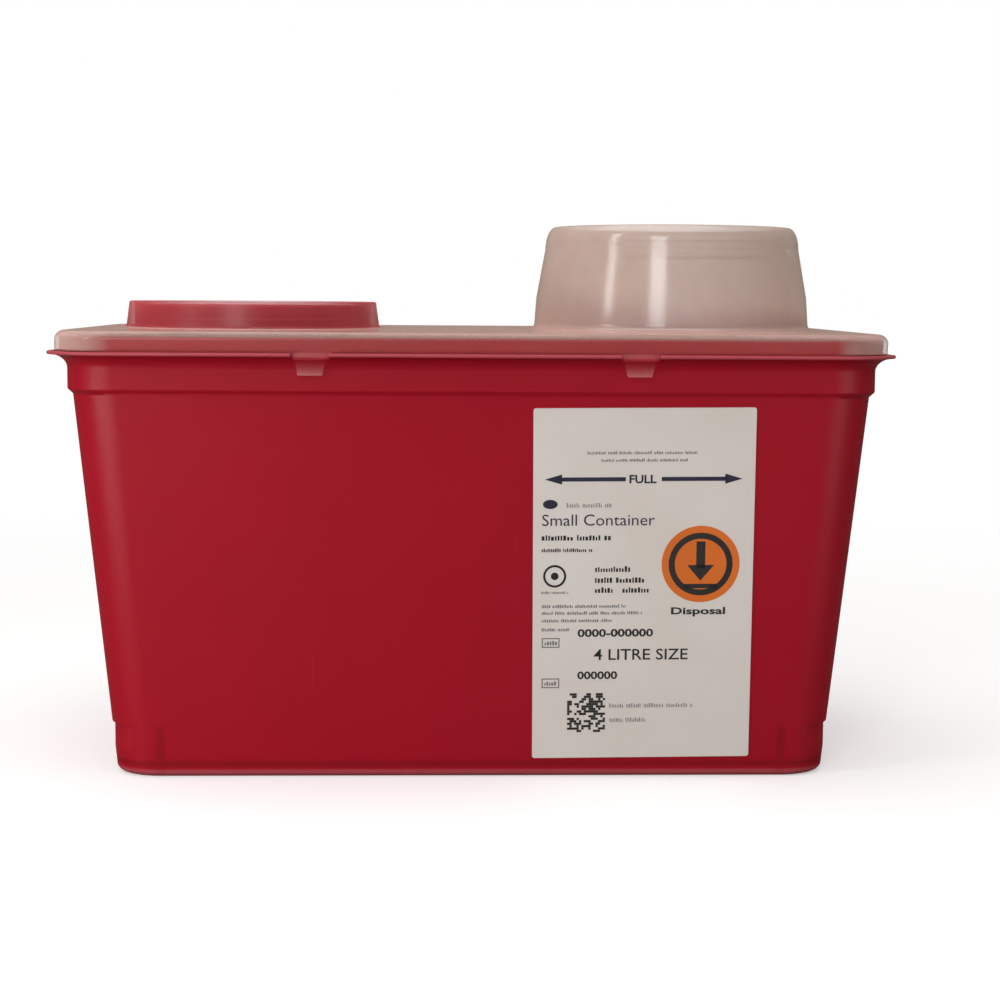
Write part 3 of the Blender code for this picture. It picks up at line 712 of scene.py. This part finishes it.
# painted red glow at the chimney's foot, for the tub's red light inside it
CHIMNEY_FOOT_GLOW = 0.12
CHIMNEY_GLOW_REACH = 0.4  # the share of the chimney's height over which that painted glow fades out
NEAR = 0.1 * MM
CHIMNEY_REACH = rim + FLARE + 5 * NEAR
COLLAR_REACH = outer + COLLAR_FLARE + 5 * NEAR
EDGE_REACH = SKIRT_INSET + LID_EDGE - NEAR


def region(place):
    """Which part of the lid a point belongs to."""
    x, y, z = place
    if math.hypot(x - CHIMNEY_X, y) < CHIMNEY_REACH:
        return "chimney"
    if math.hypot(x - COLLAR_X, y) < COLLAR_REACH and z > LID_TOP - NEAR:
        return "collar"
    if z < SKIRT_BOTTOM - NEAR and abs(y) > HALF_DEPTH - TAB_INSIDE - NEAR:
        return "tab"
    inward = min(HALF_LENGTH - abs(x), HALF_DEPTH - abs(y))
    if z > LID_TOP - LID_EDGE + NEAR and inward < EDGE_REACH:
        return "edge"
    return "panel" if z > LID_UNDERSIDE - NEAR else "skirt"


milk = lid.data.attributes.new("milk", "FLOAT", "POINT").data
red_glow = lid.data.attributes.new("red_glow", "FLOAT", "POINT").data
for vertex in lid.data.vertices:
    part = region(vertex.co)
    milk[vertex.index].value = CLOUD[part]
    red_glow[vertex.index].value = RED_GLOW_SHARE[part]
    x, y, z = vertex.co
    if part in ("edge", "skirt"):
        corner_x = max(abs(x) - HALF_LENGTH + FLANGE_CORNER, 0.0)
        corner_y = max(abs(y) - HALF_DEPTH + FLANGE_CORNER, 0.0)
        round_corner = 2 * corner_x * corner_y / (corner_x**2 + corner_y**2 + 1e-9)
        cloud = CLOUD["skirt"] + (CORNER_CLOUD - CLOUD["skirt"]) * round_corner
        rise = min(max((z - LID_TOP + LID_EDGE) / LID_EDGE, 0.0), 1.0) ** 2
        milk[vertex.index].value = cloud + (CLOUD["panel"] - cloud) * rise
    if part == "tab":
        drop = (SKIRT_BOTTOM - z) / (SKIRT_BOTTOM - TAB_TIP)
        milk[vertex.index].value = CLOUD["tab"] + (TAB_TIP_CLOUD - CLOUD["tab"]) * drop**4
    if part == "chimney":
        height = max(z - LID_TOP, 0.0) / CHIMNEY_HEIGHT
        # the painted red glow fades up from the chimney's foot
        red_glow[vertex.index].value = CHIMNEY_FOOT_GLOW * max(0.0, 1.0 - height / CHIMNEY_GLOW_REACH)
shade(lid)
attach(lid, "lid_body")
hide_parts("lid")

# Closure cap ----------------------------------------------------------------------------
# A shallow plug in the tub's red, kept in the collar until the container is full. It has a
# snap bead round its foot, a dish in its top, and a bar across the dish to pull it by.
cap_low, cap_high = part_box("closure_cap")
CAP_RADIUS = (cap_high.x - cap_low.x) / 2
CAP_BEAD_DEPTH = 1.2 * MM
CAP_BEAD_HEIGHT = 3.4 * MM
CAP_RIM = 1.8 * MM
CAP_FLOOR = 1.5 * MM
CAP_DISH = 4.6 * MM
CAP_ROUNDING = 0.5 * MM
GRIP_WIDTH = 4.5 * MM
GRIP_BELOW_RIM = 0.8 * MM

CAP_RED = (0.36, 0.012, 0.022)
CAP_DEEP_RED = (0.31, 0.010, 0.018)
cap_plastic, tree, shader = new_material("cap_polypropylene")
skinned(tree, shader, (CAP_RED, CAP_DEEP_RED, TUB_SCUFF), 0.5, 0.38, 0.25)
shader.inputs["Specular IOR Level"].default_value = 0.3

body = CAP_RADIUS - CAP_BEAD_DEPTH
dish = body - CAP_RIM
height = cap_high.z - cap_low.z
dish_z = height - CAP_DISH
hollow_z = dish_z - CAP_FLOOR
profile = [(0.0, dish_z)] + arc(dish - CAP_ROUNDING, dish_z + CAP_ROUNDING, CAP_ROUNDING, 270, 360, 4)
profile += arc(dish + CAP_ROUNDING, height - CAP_ROUNDING, CAP_ROUNDING, 180, 90, 4)
profile += arc(body - CAP_ROUNDING, height - CAP_ROUNDING, CAP_ROUNDING, 90, 0, 4)
profile += [(body, CAP_BEAD_HEIGHT)]
profile += arc(CAP_RADIUS - CAP_BEAD_DEPTH, CAP_BEAD_HEIGHT - CAP_BEAD_DEPTH, CAP_BEAD_DEPTH, 90, 0)
profile += arc(CAP_RADIUS - CAP_ROUNDING, CAP_ROUNDING, CAP_ROUNDING, 0, -90, 4)
profile += [(dish, 0.0), (dish, hollow_z), (0.0, hollow_z)]
bm = bmesh.new()
spun(bm, [(radius, cap_low.z + z) for radius, z in profile], COLLAR_X)
cap = raw_piece(bm, "red_closure_cap", cap_plastic)

bm = bmesh.new()
half = dish + CAP_ROUNDING
grip_top = cap_high.z - GRIP_BELOW_RIM
grip_foot = cap_low.z + dish_z - CAP_ROUNDING
add_box(bm, (COLLAR_X - half, -GRIP_WIDTH / 2, grip_foot), (COLLAR_X + half, GRIP_WIDTH / 2, grip_top))
crest = [e for e in bm.edges if all(v.co.z > cap_low.z + dish_z for v in e.verts)]
bmesh.ops.bevel(
    bm,
    geom=[e for e in crest if abs(e.verts[0].co.x - e.verts[1].co.x) > MM],
    offset=GRIP_WIDTH / 4,
    segments=6,
    profile=0.5,
    affect="EDGES",
    material=-1,
)
combine(cap, "UNION", raw_piece(bm, "grip"))
shade(cap)
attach(cap, "cap_body")
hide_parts("closure_cap")

# Label ----------------------------------------------------------------------------------
# A printed paper label, stuck on the drafted front wall a little askew. Its inks stand a
# hair proud of the paper. Measures on it are in millimetres from its left and top edges.
label_low, label_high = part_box("front_label")
LABEL_WIDTH = 68.7 * MM
LABEL_BOTTOM = 6.5 * MM
LABEL_TOP = WALL_TOP - 3.0 * MM
LABEL_HEIGHT = (LABEL_TOP - LABEL_BOTTOM) / math.cos(WALL_DRAFT)
LABEL_THICKNESS = 0.25 * MM
LABEL_CORNER = 0.8 * MM
LABEL_TILT = math.radians(0.5)
INK_THICKNESS = 0.03 * MM
INK_SUNK = 0.01 * MM
LABEL_PLACE = (
    Matrix.Translation((label_low + label_high) / 2)
    @ Matrix.Rotation(WALL_DRAFT, 4, "X")
    @ Matrix.Rotation(-LABEL_TILT, 4, "Y")
)
chance = random.Random(7)


def paper_tooth():
    """Shader group for paper and the ink on it: warm clouds, fibres, and flecks in the colour."""
    group = bpy.data.node_groups.new("paper_tooth", "ShaderNodeTree")
    sockets = group.interface
    sockets.new_socket("Colour", in_out="INPUT", socket_type="NodeSocketColor")
    sockets.new_socket("Aged Colour", in_out="INPUT", socket_type="NodeSocketColor")
    sockets.new_socket("Fleck Colour", in_out="INPUT", socket_type="NodeSocketColor")
    sockets.new_socket("Colour", in_out="OUTPUT", socket_type="NodeSocketColor")
    sockets.new_socket("Roughness", in_out="OUTPUT", socket_type="NodeSocketFloat")
    sockets.new_socket("Height", in_out="OUTPUT", socket_type="NodeSocketFloat")
    given = add_node(group, "NodeGroupInput").outputs
    place = add_node(group, "ShaderNodeTexCoord").outputs["Object"]
    aged = spread(group, noise(group, place, 28.0, 3.0), 0.35, 0.7)
    fibre = noise(group, place, 1500.0, 4.0, 0.6)
    fleck = maths(group, "MULTIPLY", spread(group, fibre, 0.6, 0.75), 0.35)
    colour = blended(group, aged, given["Colour"], given["Aged Colour"])
    ends = {
        "Colour": blended(group, fleck, colour, given["Fleck Colour"]),
        "Roughness": spread(group, fibre, 0.3, 0.7, 0.5, 0.66),
        "Height": fibre,
    }
    add_node(group, "NodeGroupOutput", ends)
    return group


TOOTH = paper_tooth()


def printed_material(name, colour, aged, fleck):
    """Paper or ink, with its plain, aged and flecked colours."""
    made, tree, shader = new_material(name)
    tooth = add_node(tree, "ShaderNodeGroup", node_tree=TOOTH)
    for socket, value in zip(("Colour", "Aged Colour", "Fleck Colour"), (colour, aged, fleck)):
        tooth.inputs[socket].default_value = (*value, 1.0)
    relief = {"Height": tooth.outputs["Height"], "Strength": 0.15, "Distance": 0.05 * MM}
    bumped = add_node(tree, "ShaderNodeBump", relief)
    tree.links.new(bumped.outputs["Normal"], shader.inputs["Normal"])
    tree.links.new(tooth.outputs["Colour"], shader.inputs["Base Color"])
    tree.links.new(tooth.outputs["Roughness"], shader.inputs["Roughness"])
    return made


PAPER = (0.76, 0.70, 0.655)
PAPER_AGED = (0.73, 0.655, 0.60)
paper = printed_material("label_paper", PAPER, PAPER_AGED, (0.62, 0.55, 0.48))
navy = printed_material("navy_ink", (0.010, 0.010, 0.030), (0.018, 0.018, 0.05), (0.05, 0.05, 0.09))
black = printed_material("black_ink", (0.010, 0.009, 0.008), (0.02, 0.018, 0.016), (0.06, 0.055, 0.05))
grey = printed_material("grey_ink", (0.15, 0.14, 0.14), (0.19, 0.18, 0.18), (0.28, 0.26, 0.25))
orange = printed_material("orange_ink", (0.76, 0.165, 0.012), (0.70, 0.145, 0.010), (0.80, 0.30, 0.08))


def fit(bm, verts, u, v, width, height, lift=0.0):
    """Fits a standing shape to a width and height: its left end at u, its middle at v."""
    spans = [[axis(vertex.co[i] for vertex in verts) for axis in (min, max)] for i in range(3)]
    middle = Vector(((low + high) / 2 for low, high in spans))
    sizes = (width * MM, INK_THICKNESS, height * MM)
    bmesh.ops.translate(bm, vec=-middle, verts=verts)
    bmesh.ops.scale(bm, vec=[b / (high - low) for b, (low, high) in zip(sizes, spans)], verts=verts)
    x = (u + width / 2) * MM - LABEL_WIDTH / 2
    y = INK_SUNK - lift - (LABEL_THICKNESS + INK_THICKNESS) / 2
    z = LABEL_HEIGHT / 2 - v * MM
    bmesh.ops.translate(bm, vec=(x, y, z), verts=verts)


def stamp(bm, corners, u, v, width, height, turn=0.0, lift=0.0):
    """A flat printed shape with so many corners."""
    verts = bmesh.ops.create_cone(
        bm, cap_ends=True, segments=corners, radius1=1.0, radius2=1.0, depth=1.0
    )["verts"]
    bmesh.ops.rotate(bm, matrix=Matrix.Rotation(math.radians(turn), 3, "Z"), verts=verts)
    bmesh.ops.rotate(bm, matrix=Matrix.Rotation(math.pi / 2, 3, "X"), verts=verts)
    fit(bm, verts, u, v, width, height, lift)


def bar(bm, u, v, width, height, lift=0.0):
    """A printed bar."""
    stamp(bm, 4, u, v, width, height, 45.0, lift)


def hoop(bm, u, v, width, line, lift=0.0):
    """A printed ring, with its line's width."""
    verts = bmesh.ops.create_grid(bm, x_segments=1, y_segments=1, size=0.5)["verts"]
    bmesh.ops.scale(bm, vec=(2 * line / width, 1, 1), verts=verts)
    bmesh.ops.translate(bm, vec=(1 - line / width, 0, 0), verts=verts)
    bmesh.ops.rotate(bm, matrix=Matrix.Rotation(math.pi / 2, 3, "X"), verts=verts)
    start = [e for v in verts for e in v.link_edges]
    faces = list({f for v in verts for f in v.link_faces})
    before = len(bm.verts) - len(verts)
    bmesh.ops.delete(bm, geom=faces, context="FACES_ONLY")
    bmesh.ops.spin(
        bm,
        geom=verts + list(dict.fromkeys(start)),
        axis=(0, 0, 1),
        angle=2 * math.pi,
        steps=48,
        use_merge=True,
    )
    bm.verts.ensure_lookup_table()
    made = bm.verts[before:]
    bmesh.ops.rotate(bm, matrix=Matrix.Rotation(math.pi / 2, 3, "X"), verts=made)
    fit(bm, made, u, v, width, width, lift)


def lettering(bm, words, u, v, width, height, bold=0.0):
    """Plain lettering, fitted to a width and height."""
    curve = bpy.data.curves.new("lettering", "FONT")
    curve.body = words
    curve.extrude = 0.5
    curve.offset = bold
    curve.resolution_u = 3
    written = bpy.data.objects.new("lettering", curve)
    mesh = bpy.data.meshes.new_from_object(written)
    letters = bmesh.new()
    letters.from_mesh(mesh)
    bmesh.ops.remove_doubles(letters, verts=letters.verts, dist=1e-5)
    bmesh.ops.rotate(letters, matrix=Matrix.Rotation(math.pi / 2, 3, "X"), verts=letters.verts)
    fit(letters, letters.verts, u, v, width, height)
    letters.to_mesh(mesh)
    letters.free()
    bm.from_mesh(mesh)
    bpy.data.objects.remove(written)
    bpy.data.curves.remove(curve)
    bpy.data.meshes.remove(mesh)


def small_print(bm, u, v, width, height, weight=0.34):
    """A line of print too small to read: upright strokes in groups like words."""
    at = u
    while at < u + width:
        for _ in range(chance.randint(5, 13)):
            stroke = height * weight * chance.uniform(0.6, 1.1)
            tall = height * chance.uniform(0.55, 1.0)
            if at + stroke < u + width:
                bar(bm, at, v + (height - tall) / 2, stroke, tall)
            at += stroke + height * 0.18
        at += height * 0.5


def on_label(bm, name, ink):
    """Lays finished print, or the paper, on the wall."""
    bm.transform(LABEL_PLACE)
    made = raw_piece(bm, name, ink)
    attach(made, "tub_body")
    return made


bm = bmesh.new()
half = Vector((LABEL_WIDTH, LABEL_THICKNESS, LABEL_HEIGHT)) / 2
add_box(bm, -half, half)
bmesh.ops.bevel(
    bm,
    geom=[e for e in bm.edges if abs(e.verts[0].co.y - e.verts[1].co.y) > LABEL_THICKNESS / 2],
    offset=LABEL_CORNER,
    segments=6,
    profile=0.5,
    affect="EDGES",
    material=-1,
)
label = on_label(bm, "front_label_paper", paper)
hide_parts("front_label")

bm = bmesh.new()
for tip, shaft, turn in ((3.5, 8.4, 0.0), (59.4, 39.7, 180.0)):
    stamp(bm, 3, tip, 22.2, 5.4, 3.2, turn + 90.0)
    bar(bm, shaft, 22.2, 20.2, 1.3)
lettering(bm, "FULL", 29.7, 22.2, 8.4, 2.7, 0.03)
stamp(bm, 32, 3.0, 30.0, 4.6, 2.9)
lettering(bm, "Small Container", 2.8, 35.0, 35.0, 3.6)
on_label(bm, "navy_print", navy)

bm = bmesh.new()
hoop(bm, 3.2, 52.8, 7.2, 0.7)
stamp(bm, 24, 5.6, 52.8, 2.4, 2.4)
small_print(bm, 2.7, 40.5, 22.0, 1.9, 0.42)
small_print(bm, 2.7, 44.5, 15.8, 1.2, 0.42)
for u, v, width in ((19.4, 50.6, 11.8), (19.4, 54.1, 16.6), (19.4, 57.3, 5.6), (28.0, 57.3, 8.8)):
    small_print(bm, u, v, width, 1.8, 0.40)
lettering(bm, "Disposal", 43.3, 64.5, 17.0, 3.0, 0.03)
lettering(bm, "0000-000000", 14.1, 71.1, 23.7, 2.6, 0.03)
lettering(bm, "4 LITRE SIZE", 19.2, 78.1, 29.6, 3.6, 0.01)
lettering(bm, "000000", 14.1, 84.8, 12.6, 2.6, 0.03)
on_label(bm, "black_print", black)

bm = bmesh.new()
small_print(bm, 16.6, 13.9, 34.6, 1.0)
small_print(bm, 21.0, 16.2, 26.9, 1.0)
small_print(bm, 10.4, 30.3, 14.2, 1.5, 0.2)
small_print(bm, 2.6, 58.0, 8.7, 0.9)
for v, width in ((62.4, 26.4), (64.6, 32.0), (67.0, 22.0), (69.9, 8.6)):
    small_print(bm, 2.8, v, width, 1.1, 0.38)
for v in (74.2, 87.3):
    for side in (2.9, 8.1):
        bar(bm, side, v, 0.35, 3.1)
    for edge in (v - 1.4, v + 1.4):
        bar(bm, 2.9, edge, 5.5, 0.35)
    small_print(bm, 3.8, v, 4.0, 1.5, 0.4)
small_print(bm, 24.2, 94.7, 26.8, 1.5, 0.2)
small_print(bm, 24.5, 99.4, 11.4, 1.5, 0.2)
on_label(bm, "grey_print", grey)

bm = bmesh.new()
stamp(bm, 64, 40.1, 49.2, 24.4, 24.4)
on_label(bm, "orange_disc", orange)

DISC_LIFT = INK_THICKNESS / 2
bm = bmesh.new()
hoop(bm, 42.3, 49.2, 20.0, 1.9, DISC_LIFT)
bar(bm, 50.9, 46.2, 2.8, 8.4, DISC_LIFT)
stamp(bm, 3, 48.1, 52.0, 8.4, 5.0, 180.0, DISC_LIFT)
bar(bm, 47.1, 56.2, 10.4, 1.4, DISC_LIFT)
on_label(bm, "disc_mark", black)

CODE_CELLS = 16
CODE_LEFT, CODE_TOP, CODE_WIDTH, CODE_HEIGHT = 11.0, 90.6, 12.0, 12.8
bm = bmesh.new()
for row in range(CODE_CELLS):
    column = 0
    while column < CODE_CELLS:
        run = chance.choice((1, 1, 2))
        run = min(run, CODE_CELLS - column)
        if chance.random() < 0.55:
            u = CODE_LEFT + column * CODE_WIDTH / CODE_CELLS
            v = CODE_TOP + (row + 0.5) * CODE_HEIGHT / CODE_CELLS
            bar(bm, u, v, run * CODE_WIDTH / CODE_CELLS, 0.96 * CODE_HEIGHT / CODE_CELLS)
        column += run
on_label(bm, "cell_pattern", black)
